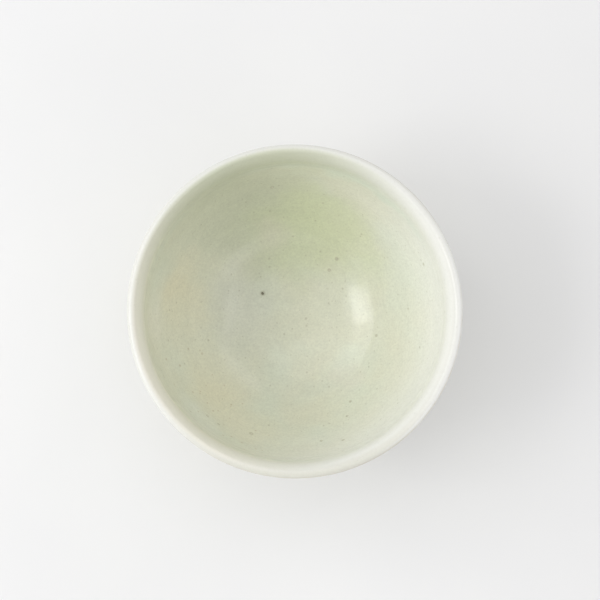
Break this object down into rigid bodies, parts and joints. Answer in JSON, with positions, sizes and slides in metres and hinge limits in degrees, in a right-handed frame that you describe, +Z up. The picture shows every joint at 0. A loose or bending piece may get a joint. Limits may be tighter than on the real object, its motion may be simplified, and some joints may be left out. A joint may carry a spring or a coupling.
{
  "type": "matcha bowl",
  "caption": "Round hand-thrown stoneware tea bowl with a foot ring, rounded lip and pale green glaze inside and out, bare clay at the foot.",
  "frame": {"origin": "centre of the resting face of the foot ring", "axes": "+Z up along the axis that the bowl was thrown on; +X and +Y are free, with +Y away from the viewer in the reference view"},
  "size_m": [0.12, 0.12, 0.075],
  "materials": {
    "bare_clay": "matt fired stoneware, buff, with fine sand",
    "foot_clay": "matt fired stoneware, buff, turned, worn smooth on the resting face",
    "inside_glaze": "satin pale green celadon, mottled green, tan and blue-grey, whitish on the lip",
    "outside_glaze": "satin pale green celadon, thin and tan at the edge of the lip",
    "iron": "dark brown iron bloom under glaze"
  },
  "bodies": {
    "root": {"clay_body": "bare_clay", "foot_ring": "foot_clay", "inner_glaze": "inside_glaze", "outer_glaze": "outside_glaze", "iron_spots": "iron"}
  },
  "joints": []
}
